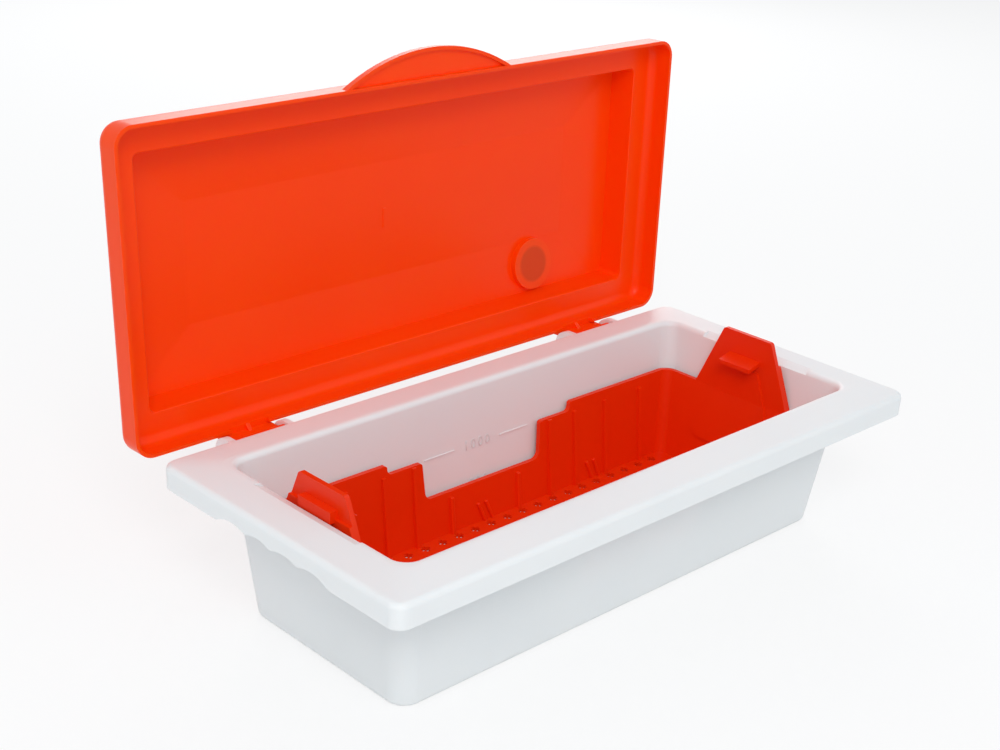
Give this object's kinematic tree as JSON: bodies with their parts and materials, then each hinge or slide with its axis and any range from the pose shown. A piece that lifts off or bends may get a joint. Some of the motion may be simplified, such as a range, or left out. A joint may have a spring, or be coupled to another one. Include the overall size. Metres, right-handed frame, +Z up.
{
  "type": "instrument disinfection tray",
  "caption": "Rectangular soaking tray for dental instruments: white tub with volume lines, hinged orange lid with a pull tab, and a lift-out perforated basket.",
  "frame": {"origin": "centre of the tub's underside", "axes": "+X along the length, +Y towards the hinges, +Z up; the lid stands open behind the tub"},
  "size_m": [0.3184, 0.1919, 0.2139],
  "materials": {
    "white_plastic": "satin moulded polypropylene, slightly translucent",
    "orange_plastic": "glossy translucent moulded polypropylene",
    "basket_plastic": "satin moulded polypropylene",
    "dial_plastic": "satin moulded plastic"
  },
  "bodies": {
    "tub_body": {"tub": "white_plastic"},
    "lid_body": {"lid": "orange_plastic"},
    "basket_body": {"basket": "basket_plastic"},
    "dial_body": {"date_dial": "dial_plastic"}
  },
  "joints": [
    {"name": "lid_hinge", "type": "hinge", "parent": "tub_body", "child": "lid_body", "pos_m": [0, 0.0778, 0.0623], "axis": [1, 0, 0], "range_deg": [0, 91.3]},
    {"name": "basket_lift", "type": "slide", "parent": "tub_body", "child": "basket_body", "axis": [0, 0, 1], "range_m": [0, 0.015]},
    {"name": "dial_turn", "type": "hinge", "parent": "lid_body", "child": "dial_body", "pos_m": [0.0913, 0.11, 0.09328], "axis": [0, 0.9917, -0.1286], "continuous": true}
  ]
}
